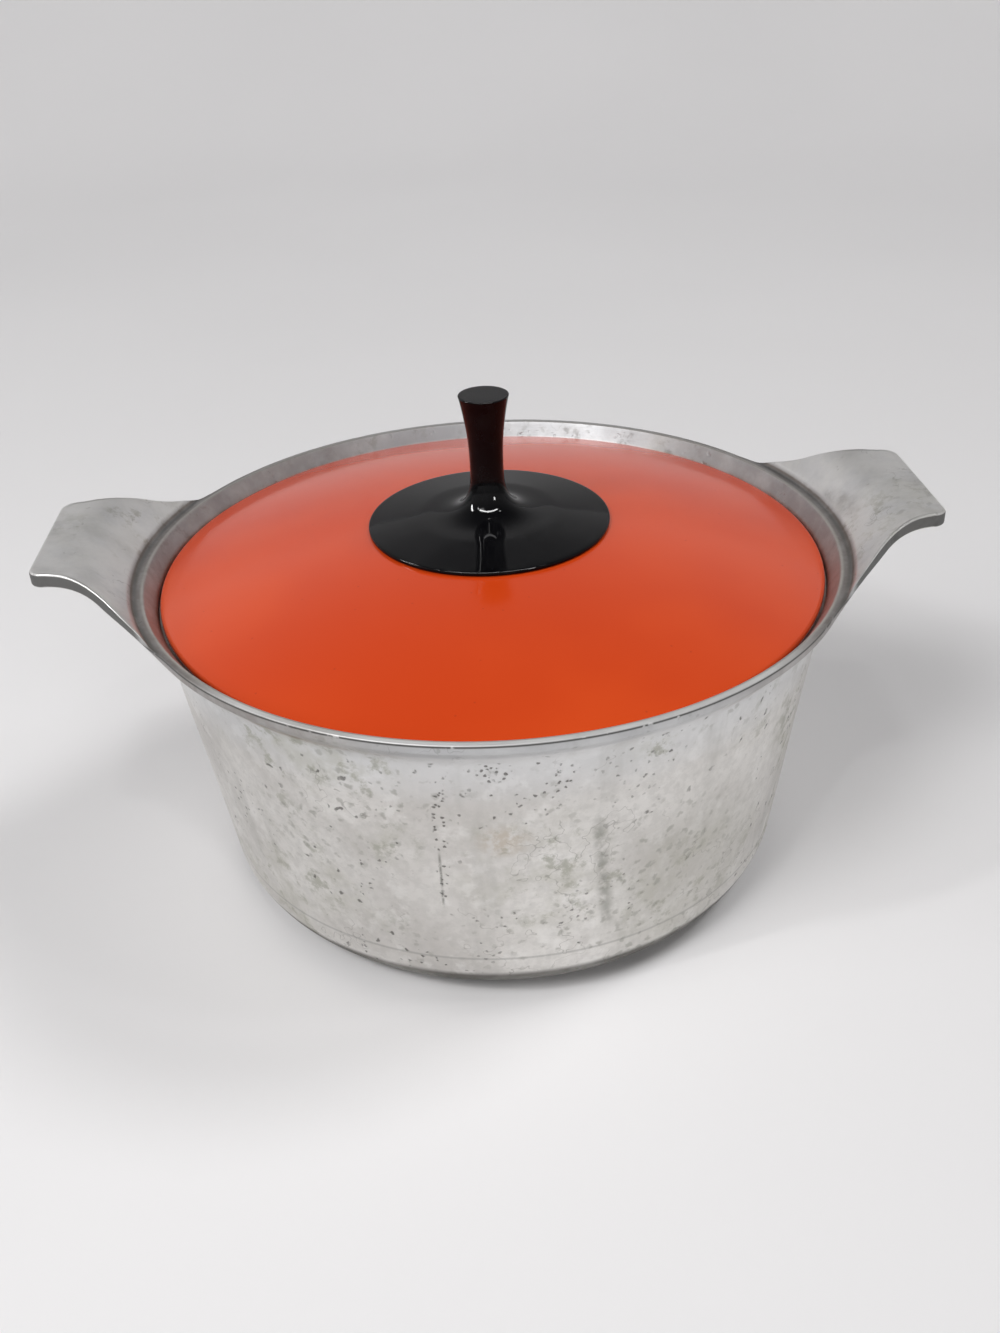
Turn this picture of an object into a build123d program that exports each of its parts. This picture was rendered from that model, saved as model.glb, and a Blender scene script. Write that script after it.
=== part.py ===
from build123d import *
import math
import os

# Dutch oven: a cast pot with two wing handles, an enamelled domed lid and a screwed-on knob.
# Millimetres. The origin is the centre of the base, +Z is up, and the handles lie along X.

# ---- driving dimensions: pot ----
rim_radius = 127.0          # outside of the flared rim, away from the handles
rim_height = 123.0          # top of the rim above the table
rim_edge_thickness = 3.2
rim_land_inner_radius = 124.4  # the rim's flat top, turned on a lathe
rim_land_outer_radius = 127.8  # where that cut ends on the handles
rim_land_shoulder_radius = 129.6
recess_wall_height = 1.5    # straight part beside the lid's edge
wall_thickness = 4.2
base_thickness = 5.0
neck_radius = 119.6         # outside of the wall just under the flare
neck_height = 109.0
wall_taper = 7.6            # degrees from vertical
base_corner_radius = 22.0
foot_recess_radius = 62.0
foot_recess_depth = 0.6
flare_slope = 46.0          # degrees above horizontal, of the handles' roots

# ---- driving dimensions: handles ----
handle_tip_x = 157.5        # half of the overall width
handle_tip_half_width = 29.5
handle_corner_radius = 6.5
handle_side_angle = 5.0     # how much the sides close in from the end, degrees
handle_blend_angle = 33.0   # where the handle's side leaves the rim circle, degrees from X
handle_end_pull = 17.0      # how far the side curve holds its direction at each end
handle_rim_pull = 24.0
handle_knee_radius = 135.6  # distance from the axis where the flare starts to level out
handle_level_radius = 20.8
handle_end_thickness = 5.6
handle_root_thickness = 4.0
handle_trim_allowance = 4.0  # the section runs this far past the ends before it is cut back

# ---- driving dimensions: lid ----
lid_radius = 119.5
lid_gap = 0.8               # between the lid's edge and the recess around it
lid_seat_height = 114.6
lid_edge_height = 3.4
lid_edge_rounding = 1.3
lid_rise = 16.9             # from the top of the lid's edge to the crown
lid_thickness = 2.6
enamel_thickness = 0.3
knob_seat_radius = 9.0
locating_ring_radius = 114.4
locating_ring_width = 2.4
locating_ring_bottom = 110.0

# ---- driving dimensions: knob and its fixing ----
knob_height = 180.5         # flat top of the knob above the table
knob_top_radius = 8.9
knob_shoulder_radius = 6.75
knob_shoulder_drop = 11.8   # below the top
knob_waist_radius = 5.95
knob_waist_drop = 26.5
knob_throat_radius = 9.9    # where the stem is halfway through its turn into the flange
knob_throat_drop = 40.3
knob_skirt_radius = 26.0    # where the turn has flattened out
knob_skirt_thickness = 2.2
knob_flange_radius = 43.4
knob_flange_edge = 1.3
knob_flange_gap = 0.4       # between the flange's underside and the lid's crown
knob_edge_rounding = 0.4
knob_top_lean = 0.25        # outward per upward, where the stem meets its flat top
insert_radius = 3.2
insert_bore_radius = 2.0
insert_length = 12.0
screw_radius = 1.95
screw_reach = 10.0          # how far the screw goes into the insert
screw_hole_radius = 2.4
screw_head_radius = 4.2
screw_head_height = 2.4
screw_slot_width = 1.1
screw_slot_depth = 1.2
washer_radius = 7.0
washer_thickness = 1.0
washer_bore_radius = 2.2
washer_seat_margin = 1.0    # the flat under the crown is this much wider than the washer
lock_washer_radius = 3.9
lock_washer_thickness = 1.1
lock_washer_gap = 0.8

near = 0.01  # tolerance for picking corners by their place

os.makedirs("parts", exist_ok=True)


def outer_wall_radius(height):
    """Radius of the straight part of the wall's outside at a height."""
    return neck_radius - (neck_height - height) * math.tan(math.radians(wall_taper))


def flare_height(radius):
    """Height of the cone that the handles' roots lie on."""
    return rim_height + (radius - rim_radius) * math.tan(math.radians(flare_slope))


# ---- pot: one casting, handles included ----
# The section runs out to the handles' ends all the way round. The plan outline then cuts it back
# to the rim circle between the handles, so the rim and the handles share one smooth surface.
slope = math.radians(flare_slope)
flare_direction = (math.cos(slope), math.sin(slope))
wall_direction = (math.sin(math.radians(wall_taper)), math.cos(math.radians(wall_taper)))
wall_offset = wall_thickness / math.cos(math.radians(wall_taper))
outer_corner = (outer_wall_radius(0), 0)
inner_corner = (outer_wall_radius(base_thickness) - wall_offset, base_thickness)
seat_inner = (outer_wall_radius(lid_seat_height) - wall_offset, lid_seat_height)
recess_radius = lid_radius + lid_gap
section_reach = handle_tip_x + handle_trim_allowance
neck = (neck_radius, neck_height)
knee = (handle_knee_radius, flare_height(handle_knee_radius))
level = (
    knee[0] + handle_level_radius * math.sin(slope),
    knee[1] + handle_level_radius * (1 - math.cos(slope)),
)
under_rim = (rim_radius, rim_height - rim_edge_thickness)
under_knee = (
    knee[0] + handle_root_thickness * math.sin(slope),
    knee[1] - handle_root_thickness * math.cos(slope),
)
under_end = (section_reach, level[1] - handle_end_thickness)

blend = math.radians(handle_blend_angle)
side = math.radians(handle_side_angle)
blend_point = (rim_radius * math.cos(blend), rim_radius * math.sin(blend))
end_corner = (handle_tip_x, handle_tip_half_width)
side_controls = (
    blend_point,
    (
        blend_point[0] + handle_rim_pull * math.sin(blend),
        blend_point[1] - handle_rim_pull * math.cos(blend),
    ),
    (
        end_corner[0] - handle_end_pull * math.cos(side),
        end_corner[1] - handle_end_pull * math.sin(side),
    ),
    end_corner,
)

with BuildPart() as pot_body:
    with BuildSketch(Plane.YZ) as pot_section:
        with BuildLine():
            Polyline(
                (0, foot_recess_depth),
                (foot_recess_radius, foot_recess_depth),
                (foot_recess_radius + foot_recess_depth, 0),
                outer_corner,
                neck,
            )
            Spline(neck, under_rim, under_knee, tangents=(wall_direction, flare_direction))
            Spline(under_knee, under_end, tangents=(flare_direction, (1, 0)))
            Polyline(under_end, (section_reach, level[1]), level)
            RadiusArc(level, knee, -handle_level_radius)
            Polyline(
                knee,
                (rim_land_shoulder_radius, flare_height(rim_land_shoulder_radius)),
                (rim_land_outer_radius, rim_height),
                (rim_land_inner_radius, rim_height),
                (recess_radius, lid_seat_height + recess_wall_height),
                (recess_radius, lid_seat_height),
                seat_inner,
                inner_corner,
                (0, base_thickness),
                (0, foot_recess_depth),
            )
        make_face()
        fillet(pot_section.vertices().sort_by_distance(outer_corner)[0], base_corner_radius)
        fillet(
            pot_section.vertices().sort_by_distance(inner_corner)[0],
            base_corner_radius - wall_thickness,
        )
    revolve(axis=Axis.Z)

    with BuildSketch(Plane.XY) as plan_outline:
        with BuildLine():
            CenterArc((0, 0), rim_radius, handle_blend_angle, 90 - handle_blend_angle)
            Bezier(*side_controls)
            Line(end_corner, (handle_tip_x, 0))
            mirror(about=Plane.XZ)
            mirror(about=Plane.YZ)
        make_face()
        end_corners = plan_outline.vertices().filter_by(
            lambda vertex: abs(abs(vertex.X) - handle_tip_x) < near and abs(vertex.Y) > near
        )
        fillet(end_corners, handle_corner_radius)
    extrude(amount=2 * rim_height, mode=Mode.INTERSECT)

pot_body.part.label = "pot_body"
export_step(pot_body.part, "parts/pot_body.step")

# ---- lid: an aluminium shell with a colour coat on its outside ----
# Both are bounded by arcs about one centre on the axis, so the coat lies on the shell everywhere.
edge_top = lid_seat_height + lid_edge_height
dome_radius = (lid_radius**2 + lid_rise**2) / (2 * lid_rise)
dome_centre = edge_top + lid_rise - dome_radius
shell_radius = lid_radius - enamel_thickness
ring_inner_radius = locating_ring_radius - locating_ring_width
shell_depth = enamel_thickness + lid_thickness


def dome_point(radius, depth=0.0):
    """Point of the section on the dome, or on a dome that lies a depth inside it."""
    return (radius, dome_centre + math.sqrt((dome_radius - depth) ** 2 - radius**2))


seat_height = dome_point(knob_seat_radius)[1]
shell_seat = (knob_seat_radius, seat_height - enamel_thickness)
shell_seat_radius = math.sqrt(
    (dome_radius - enamel_thickness) ** 2 - (shell_seat[1] - dome_centre) ** 2
)
under_seat = dome_point(washer_radius + washer_seat_margin, shell_depth)
shoulder_radius = shell_radius - lid_edge_rounding
coat_shoulder = dome_point(shoulder_radius)
shell_shoulder = dome_point(shoulder_radius, enamel_thickness)

with BuildPart() as lid_shell:
    with BuildSketch(Plane.YZ) as shell_section:
        with BuildLine():
            Polyline(
                (shell_seat_radius, shell_seat[1]),
                (screw_hole_radius, shell_seat[1]),
                (screw_hole_radius, under_seat[1]),
                under_seat,
            )
            ThreePointArc(
                under_seat,
                dome_point(ring_inner_radius / 2, shell_depth),
                dome_point(ring_inner_radius, shell_depth),
            )
            Polyline(
                dome_point(ring_inner_radius, shell_depth),
                (ring_inner_radius, locating_ring_bottom),
                (locating_ring_radius, locating_ring_bottom),
                (locating_ring_radius, lid_seat_height),
                (shell_radius, lid_seat_height),
                (shell_radius, edge_top - lid_edge_rounding),
            )
            TangentArc(
                (shell_radius, edge_top - lid_edge_rounding), shell_shoulder, tangent=(0, 1)
            )
            ThreePointArc(
                shell_shoulder,
                dome_point(shell_radius / 2, enamel_thickness),
                (shell_seat_radius, shell_seat[1]),
            )
        make_face()
    revolve(axis=Axis.Z)

lid_shell.part.label = "lid_shell"
export_step(lid_shell.part, "parts/lid_shell.step")

with BuildPart() as lid_enamel:
    with BuildSketch(Plane.YZ) as enamel_section:
        with BuildLine():
            Polyline(
                (knob_seat_radius, seat_height),
                (screw_hole_radius, seat_height),
                (screw_hole_radius, shell_seat[1]),
                (shell_seat_radius, shell_seat[1]),
            )
            ThreePointArc(
                (shell_seat_radius, shell_seat[1]),
                dome_point(shell_radius / 2, enamel_thickness),
                shell_shoulder,
            )
            TangentArc(
                (shell_radius, edge_top - lid_edge_rounding), shell_shoulder, tangent=(0, 1)
            )
            Polyline(
                (shell_radius, edge_top - lid_edge_rounding),
                (shell_radius, lid_seat_height + enamel_thickness),
                (lid_radius, lid_seat_height + enamel_thickness),
                (lid_radius, edge_top - lid_edge_rounding),
            )
            TangentArc(
                (lid_radius, edge_top - lid_edge_rounding), coat_shoulder, tangent=(0, 1)
            )
            ThreePointArc(
                coat_shoulder, dome_point(lid_radius / 2), (knob_seat_radius, seat_height)
            )
        make_face()
    revolve(axis=Axis.Z)

lid_enamel.part.label = "lid_enamel"
export_step(lid_enamel.part, "parts/lid_enamel.step")

# ---- knob: one moulding, a waisted stem on a wide thin flange ----
flange_under = dome_point(knob_flange_radius)[1] + knob_flange_gap
flange_top = flange_under + knob_flange_edge
skirt_under = dome_point(knob_skirt_radius)[1] + knob_flange_gap
skirt = (knob_skirt_radius, skirt_under + knob_skirt_thickness)
skirt_slope = (flange_top - skirt[1]) / (knob_flange_radius - knob_skirt_radius)
throat = (knob_throat_radius, knob_height - knob_throat_drop)
waist = (knob_waist_radius, knob_height - knob_waist_drop)
shoulder = (knob_shoulder_radius, knob_height - knob_shoulder_drop)
top_edge = (knob_top_radius, knob_height)
relief = (knob_seat_radius, seat_height + knob_flange_gap)

with BuildPart() as knob:
    with BuildSketch(Plane.YZ) as knob_section:
        with BuildLine():
            Line((insert_radius, seat_height), (knob_seat_radius, seat_height))
            Line((knob_seat_radius, seat_height), relief)
            ThreePointArc(
                relief,
                (
                    knob_flange_radius / 2,
                    dome_point(knob_flange_radius / 2)[1] + knob_flange_gap,
                ),
                (knob_flange_radius, flange_under),
            )
            Line((knob_flange_radius, flange_under), (knob_flange_radius, flange_top))
            Line((knob_flange_radius, flange_top), skirt)
            Spline(skirt, throat, waist, tangents=((-1, -skirt_slope), (0, 1)))
            Spline(waist, shoulder, top_edge, tangents=((0, 1), (knob_top_lean, 1)))
            Polyline(
                top_edge,
                (0, knob_height),
                (0, seat_height + insert_length),
                (insert_radius, seat_height + insert_length),
                (insert_radius, seat_height),
            )
        make_face()
        rim_corners = knob_section.vertices().filter_by(
            lambda vertex: vertex.X > knob_flange_radius - near or vertex.Y > knob_height - near
        )
        fillet(rim_corners.filter_by(lambda vertex: vertex.X > near), knob_edge_rounding)
    revolve(axis=Axis.Z)

knob.part.label = "knob"
export_step(knob.part, "parts/knob.step")

# ---- the knob's fixing: a threaded insert in the stem, and a screw with two washers below ----
with BuildPart() as knob_insert:
    with BuildSketch(Plane.XY.offset(seat_height)):
        Circle(insert_radius)
        Circle(insert_bore_radius, mode=Mode.SUBTRACT)
    extrude(amount=insert_length)

knob_insert.part.label = "knob_insert"
export_step(knob_insert.part, "parts/knob_insert.step")

washer_bottom = under_seat[1] - washer_thickness
with BuildPart() as flat_washer:
    with BuildSketch(Plane.XY.offset(washer_bottom)):
        Circle(washer_radius)
        Circle(washer_bore_radius, mode=Mode.SUBTRACT)
    extrude(amount=washer_thickness)

flat_washer.part.label = "flat_washer"
export_step(flat_washer.part, "parts/flat_washer.step")

lock_washer_bottom = washer_bottom - lock_washer_thickness
with BuildPart() as lock_washer:
    with BuildSketch(Plane.XY.offset(lock_washer_bottom)):
        Circle(lock_washer_radius)
        Circle(washer_bore_radius, mode=Mode.SUBTRACT)
        with Locations((lock_washer_radius, 0)):
            Rectangle(2 * lock_washer_radius, lock_washer_gap, mode=Mode.SUBTRACT)
    extrude(amount=lock_washer_thickness)

lock_washer.part.label = "lock_washer"
export_step(lock_washer.part, "parts/lock_washer.step")

head_bottom = lock_washer_bottom - screw_head_height
with BuildPart() as knob_screw:
    with BuildSketch(Plane.XY.offset(head_bottom)):
        Circle(screw_head_radius)
    extrude(amount=screw_head_height)
    fillet(knob_screw.edges().group_by(Axis.Z)[0], screw_head_height / 2)
    with BuildSketch(Plane.XY.offset(head_bottom)):
        Rectangle(3 * screw_head_radius, screw_slot_width)
    extrude(amount=screw_slot_depth, mode=Mode.SUBTRACT)
    with BuildSketch(Plane.XY.offset(lock_washer_bottom)):
        Circle(screw_radius)
    extrude(amount=seat_height + screw_reach - lock_washer_bottom)

knob_screw.part.label = "knob_screw"
export_step(knob_screw.part, "parts/knob_screw.step")
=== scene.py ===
import math

import bpy
from mathutils import Matrix, Vector, noise


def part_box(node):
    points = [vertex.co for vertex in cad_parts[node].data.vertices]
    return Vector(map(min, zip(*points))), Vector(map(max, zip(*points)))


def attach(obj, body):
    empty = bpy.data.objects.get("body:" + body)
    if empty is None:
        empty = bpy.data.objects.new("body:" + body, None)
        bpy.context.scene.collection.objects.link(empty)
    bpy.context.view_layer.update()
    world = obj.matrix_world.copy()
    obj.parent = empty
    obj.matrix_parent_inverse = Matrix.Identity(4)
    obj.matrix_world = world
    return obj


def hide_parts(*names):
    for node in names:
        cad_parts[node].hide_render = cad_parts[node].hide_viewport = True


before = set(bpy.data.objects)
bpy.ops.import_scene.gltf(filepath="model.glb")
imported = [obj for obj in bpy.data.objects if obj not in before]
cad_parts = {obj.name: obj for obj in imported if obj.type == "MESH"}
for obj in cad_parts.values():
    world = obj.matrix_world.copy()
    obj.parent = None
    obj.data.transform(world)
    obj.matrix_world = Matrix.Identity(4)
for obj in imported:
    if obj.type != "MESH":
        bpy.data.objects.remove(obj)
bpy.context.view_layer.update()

# A cast aluminium Dutch oven with wing handles, a domed enamelled lid and a black knob.
# Sections and outlines are worked out in millimetres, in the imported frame's axes, and every mesh
# is scaled to metres when it is made. Shader coordinates are metres in the same axes.
MM = 0.001


def node_box(name):
    """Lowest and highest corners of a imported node, in millimetres."""
    low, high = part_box(name)
    return low / MM, high / MM


pot_low, pot_high = node_box("pot_body")
lid_high = node_box("lid_enamel")[1]
shell_low = node_box("lid_shell")[0]
knob_low, knob_high = node_box("knob")

# ---- pot: sizes ----
tip_x = min(pot_high.x, -pot_low.x)
rim_radius = min(pot_high.y, -pot_low.y)
grip_height = pot_high.z
rim_height = 123.0
rim_edge_thickness = 3.2
land_inner_radius = 124.4
land_outer_radius = 127.8
land_shoulder_radius = 129.6
wall_thickness = 4.2
base_thickness = 5.0
neck_radius = 119.6
neck_height = 109.0
wall_taper = math.radians(7.6)
base_corner_radius = 22.0
foot_recess_radius = 62.0
foot_recess_depth = 0.6
lathe_line_height = 22.5
lathe_line_depth = 0.3
flare_slope = math.radians(46.0)
ring_depth = 4.6                # how far the lid's locating ring hangs below its seat
lid_seat_height = shell_low.z + ring_depth
recess_gap = 0.8
recess_wall_height = 1.5
join_radius = 125.2             # on the rim's land, where the outer and inner sections meet

# ---- handles: sizes ----
tip_half_width = 29.5
side_angle = math.radians(5.0)
blend_angle = math.radians(33.0)
end_pull = 17.0
rim_pull = 24.0
front_corner_reach = 4.5
back_corner_reach = 6.0
knee_radius = 135.6
level_radius = 20.8
end_thickness = 5.6
root_thickness = 4.0
past_tip = 4.0                  # the section lines run this far past the handle's end
corner_fullness = 0.55          # pull of the corner curve, as a share of its reach

# ---- casting: rounded edges and unevenness ----
rim_edge_rounding = 0.55
rim_under_rounding = 0.7
grip_extra_rounding = 0.65      # the handles' edges are rounder than the rim's
grip_extra_under_rounding = 0.3
nick_depth = 0.35
wall_unevenness = 0.28
handle_unevenness = 0.3

# ---- lid and knob: sizes ----
lid_radius = lid_high.x
lid_edge_height = 3.4
lid_edge_reach = 1.3
dome_rise = 16.9
lid_thickness = 2.6
enamel_thickness = 0.3
knob_seat_radius = 9.0
screw_hole_radius = 2.4
ring_outer_radius = 114.4
ring_inner_radius = 112.0
knob_top = knob_high.z
knob_seat = knob_low.z
flange_radius = knob_high.x
flange_edge = 1.3
flange_gap = 0.4
skirt_radius = 26.0
skirt_thickness = 2.2
throat_radius = 9.9
throat_drop = 40.3              # drops are below the flat top
waist_radius = 5.95
waist_drop = 26.5
shoulder_radius = 6.75
shoulder_drop = 11.8
shoulder_lean = 0.14            # outward per upward
knob_top_radius = 8.9
knob_top_lean = 0.25
insert_radius = 3.2
insert_length = 12.0
washer_seat_radius = 8.0


# ======== curves and meshes ========

def smooth(value, low, high):
    """Smooth step from 0 at low to 1 at high."""
    t = min(max((value - low) / (high - low), 0.0), 1.0)
    return t * t * (3 - 2 * t)


def cubic(p0, p1, p2, p3, steps):
    """Points of a Bezier curve, both ends included."""
    points = []
    for i in range(steps + 1):
        t = i / steps
        u = 1 - t
        points.append(p0 * u**3 + p1 * 3 * u * u * t + p2 * 3 * u * t * t + p3 * t**3)
    return points


def span(start, start_direction, end, end_direction, steps):
    """Smooth curve between two points that leaves and arrives in the given directions."""
    pull = (end - start).length / 3
    first = start + start_direction.normalized() * pull
    second = end - end_direction.normalized() * pull
    return cubic(start, first, second, end, steps)


def arc(centre, radius, start, stop, steps):
    """Points of a circular arc between two angles in radians, both ends included."""
    points = []
    for i in range(steps + 1):
        angle = start + (stop - start) * i / steps
        points.append(centre + Vector((math.cos(angle), math.sin(angle))) * radius)
    return points


def soften(corners, steps=4):
    """Line through (x, y, reach) corners; each corner is rounded over its reach along both sides."""
    line = [Vector(corners[0][:2])]
    for before, corner, after in zip(corners, corners[1:], corners[2:]):
        place = Vector(corner[:2])
        reach = corner[2]
        if reach == 0:
            line.append(place)
            continue
        start = place + (Vector(before[:2]) - place).normalized() * reach
        end = place + (Vector(after[:2]) - place).normalized() * reach
        for i in range(steps + 1):
            t = i / steps
            line.append(start.lerp(place, t).lerp(place.lerp(end, t), t))
    line.append(Vector(corners[-1][:2]))
    return line


def refine(line, longest):
    """Adds points so that no stretch of the line is longer than a length."""
    points = [line[0]]
    for start, end in zip(line, line[1:]):
        steps = max(1, math.ceil((end - start).length / longest))
        for i in range(1, steps + 1):
            points.append(start.lerp(end, i / steps))
    return points


def height_on(line, radius):
    """Height of a section line at a radius; the line's radii increase."""
    for start, end in zip(line, line[1:]):
        if radius <= end.x:
            t = (radius - start.x) / max(end.x - start.x, 1e-9)
            return start.y + (end.y - start.y) * max(t, 0.0)
    return line[-1].y


def make_object(name, points, faces):
    """Mesh object from points in millimetres."""
    mesh = bpy.data.meshes.new(name)
    mesh.from_pydata([tuple(point * MM) for point in points], [], faces)
    mesh.update()
    mesh.shade_smooth()
    piece = bpy.data.objects.new(name, mesh)
    bpy.context.scene.collection.objects.link(piece)
    return piece


def skin(name, columns, closed):
    """Surface over columns of points that go round the axis.

    An open column starts and ends at a point of its own on the axis, which all columns share."""
    count = len(columns)
    points = []
    for column in columns:
        points += column if closed else column[1:-1]
    rows = len(points) // count
    faces = []
    for i in range(count):
        a = i * rows
        b = (i + 1) % count * rows
        for k in range(rows if closed else rows - 1):
            up = (k + 1) % rows
            faces.append((a + k, b + k, b + up, a + up))
    if not closed:
        start = len(points)
        points += [columns[0][0], columns[0][-1]]
        for i in range(count):
            a = i * rows
            b = (i + 1) % count * rows
            faces.append((start, b, a))
            faces.append((a + rows - 1, b + rows - 1, start + 1))
    return make_object(name, points, faces)


def turned(name, profile, segments, closed):
    """Solid of revolution; the profile runs counter-clockwise round the metal, (radius, height)."""
    columns = []
    for i in range(segments):
        angle = 2 * math.pi * i / segments
        columns.append([
            Vector((p.x * math.cos(angle), p.x * math.sin(angle), p.y)) for p in profile
        ])
    return skin(name, columns, closed)


def finish_piece(piece, body, node, material):
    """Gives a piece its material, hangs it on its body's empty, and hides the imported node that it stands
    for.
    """
    piece.data.materials.append(material)
    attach(piece, body)
    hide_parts(node)


# ======== pot ========

slope_direction = Vector((math.cos(flare_slope), math.sin(flare_slope)))
wall_direction = Vector((math.sin(wall_taper), math.cos(wall_taper)))
recess_radius = lid_radius + recess_gap


def root_height(radius):
    """Height of the cone that the handles' roots lie on."""
    return rim_height + (radius - rim_radius) * math.tan(flare_slope)


def wall_radius(height, depth=0.0):
    """Radius of the wall's outside at a height, or of a cone that lies a depth inside it."""
    return neck_radius - (neck_height - height) * math.tan(wall_taper) - depth / math.cos(wall_taper)


base_bend_radius = wall_radius(0.0) - base_corner_radius * math.tan((math.pi / 2 - wall_taper) / 2)


def upper_line():
    """Top of the rim's land and of the handle, outward to the handle's end."""
    knee = Vector((knee_radius, root_height(knee_radius)))
    level_centre = knee + Vector((math.sin(flare_slope), -math.cos(flare_slope))) * level_radius
    root = soften([
        (land_inner_radius, rim_height, 0),
        (land_outer_radius, rim_height, 0.5),
        (land_shoulder_radius, root_height(land_shoulder_radius), 0.5),
        (knee.x, knee.y, 0),
    ], steps=6)
    crest_steps = 30
    crest = arc(level_centre, level_radius, math.pi / 2 + flare_slope, math.pi / 2, crest_steps)
    sink = grip_height - crest[-1].y
    crest = [point + Vector((0, sink * i / crest_steps)) for i, point in enumerate(crest)]
    return root + crest[1:] + [Vector((tip_x + past_tip, grip_height))]


def lower_line():
    """Outside of the flare and underside of the handle, from the neck to the handle's end."""
    neck = Vector((neck_radius, neck_height))
    under_rim = Vector((rim_radius, rim_height - rim_edge_thickness))
    under_knee = Vector((knee_radius, root_height(knee_radius)))
    under_knee += Vector((math.sin(flare_slope), -math.cos(flare_slope))) * root_thickness
    under_end = Vector((tip_x + past_tip, grip_height - end_thickness))
    middle_direction = under_knee - neck
    line = span(neck, wall_direction, under_rim, middle_direction, 12)
    line += span(under_rim, middle_direction, under_knee, slope_direction, 12)[1:]
    line += span(under_knee, slope_direction, under_end, Vector((1, 0)), 16)[1:]
    return line


def quarter_outline(corner_reach):
    """Plan outline of the rim and half a handle, from the Y axis to the X axis."""
    start = Vector((math.cos(blend_angle), math.sin(blend_angle))) * rim_radius
    start_pull = Vector((math.sin(blend_angle), -math.cos(blend_angle))) * rim_pull
    end = Vector((tip_x, tip_half_width))
    side = Vector((math.cos(side_angle), math.sin(side_angle)))
    rim = arc(Vector((0, 0)), rim_radius, math.pi / 2, blend_angle, 56)
    flank = cubic(start, start + start_pull, end - side * end_pull, end, 60)
    flank = [point for point in flank if (point - end).length > corner_reach]
    corner_start = flank[-1]
    corner_end = end - Vector((0, corner_reach))
    corner_pull = corner_reach * corner_fullness
    corner = cubic(
        corner_start,
        corner_start + side * corner_pull,
        corner_end + Vector((0, corner_pull)),
        corner_end,
        12,
    )
    last = refine([corner_end, Vector((tip_x, 0))], 2.0)
    return rim[:-1] + flank[:-1] + corner + last[1:]


def plan_outline():
    """Closed plan outline, counter-clockwise: points and inward normals."""
    back = quarter_outline(back_corner_reach)
    front = [Vector((p.x, -p.y)) for p in quarter_outline(front_corner_reach)]
    right = front + back[-2::-1]
    left = [Vector((-p.x, p.y)) for p in reversed(right)]
    loop = right[:-1] + left[:-1]
    normals = []
    for i in range(len(loop)):
        along = (loop[(i + 1) % len(loop)] - loop[i - 1]).normalized()
        normals.append(Vector((-along.y, along.x)))
    return loop, normals


def outside_rows(limit, lower):
    """Section from the centre of the underside, up the wall, to a radius under the flare."""
    centre = Vector((base_bend_radius, base_corner_radius))
    foot = soften([
        (0, foot_recess_depth, 0),
        (foot_recess_radius, foot_recess_depth, 0.5),
        (foot_recess_radius + 1.2, 0, 0.5),
        (centre.x, 0, 0),
    ])
    bend = arc(centre, base_corner_radius, -math.pi / 2, -wall_taper, 40)
    wall = refine([bend[-1], Vector((neck_radius, neck_height))], 3.0)
    rows = refine(foot, 5.0) + bend[1:] + wall[1:] + [p for p in lower[1:] if p.x < limit - 0.4]
    for row in rows:
        off_line = abs(row.y - lathe_line_height)
        if row.x > centre.x and off_line < 1.5:
            row.x -= lathe_line_depth * math.exp(-((off_line / 0.45) ** 2))
    return rows + [Vector((limit, height_on(lower, limit)))]


def inside_rows(limit):
    """Section from a radius on the rim's land, down the recess and the inner wall, to the centre."""
    inner_corner = Vector((wall_radius(base_thickness, wall_thickness), base_thickness))
    bend_radius = base_corner_radius - wall_thickness
    reach = bend_radius * math.tan((math.pi / 2 - wall_taper) / 2)
    centre = inner_corner + Vector((-reach, bend_radius))
    seat_inner = wall_radius(lid_seat_height, wall_thickness)
    recess = soften([
        (limit, rim_height, 0),
        (land_inner_radius, rim_height, 0.45),
        (recess_radius, lid_seat_height + recess_wall_height, 0.5),
        (recess_radius, lid_seat_height, 0.4),
        (seat_inner, lid_seat_height, 0.6),
        (wall_radius(lid_seat_height - 4, wall_thickness), lid_seat_height - 4, 0),
    ])
    bend = arc(centre, bend_radius, -wall_taper, -math.pi / 2, 24)
    wall = refine([recess[-1], bend[0]], 4.0)
    floor = refine([bend[-1], Vector((0, base_thickness))], 6.0)
    return refine(recess, 1.2) + wall[1:] + bend[1:] + floor[1:]


def dent(x, y, z, size, scale, seed):
    """A small unevenness, between 0 and size, that varies smoothly over the casting."""
    value = noise.noise(Vector((x, y, z)) * scale + Vector((seed, 0, 0)))
    return size * (0.5 + 0.5 * value)


def top_radii(join, edge, count):
    """Radii of the rows between two radii, close together at the corners of the rim's land."""
    near = (-0.5, -0.25, 0.0, 0.25, 0.5)
    wanted = [join + 0.7, join + 1.4]
    wanted += [land_outer_radius + step for step in near]
    wanted += [land_shoulder_radius + step for step in near]
    limit = join + 0.6 * (edge - join)
    radii = [radius for radius in wanted if radius < limit]
    first = radii[-1] if radii else join
    rest = count - len(radii)
    return radii + [first + (edge - first) * k / rest for k in range(1, rest)]


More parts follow.
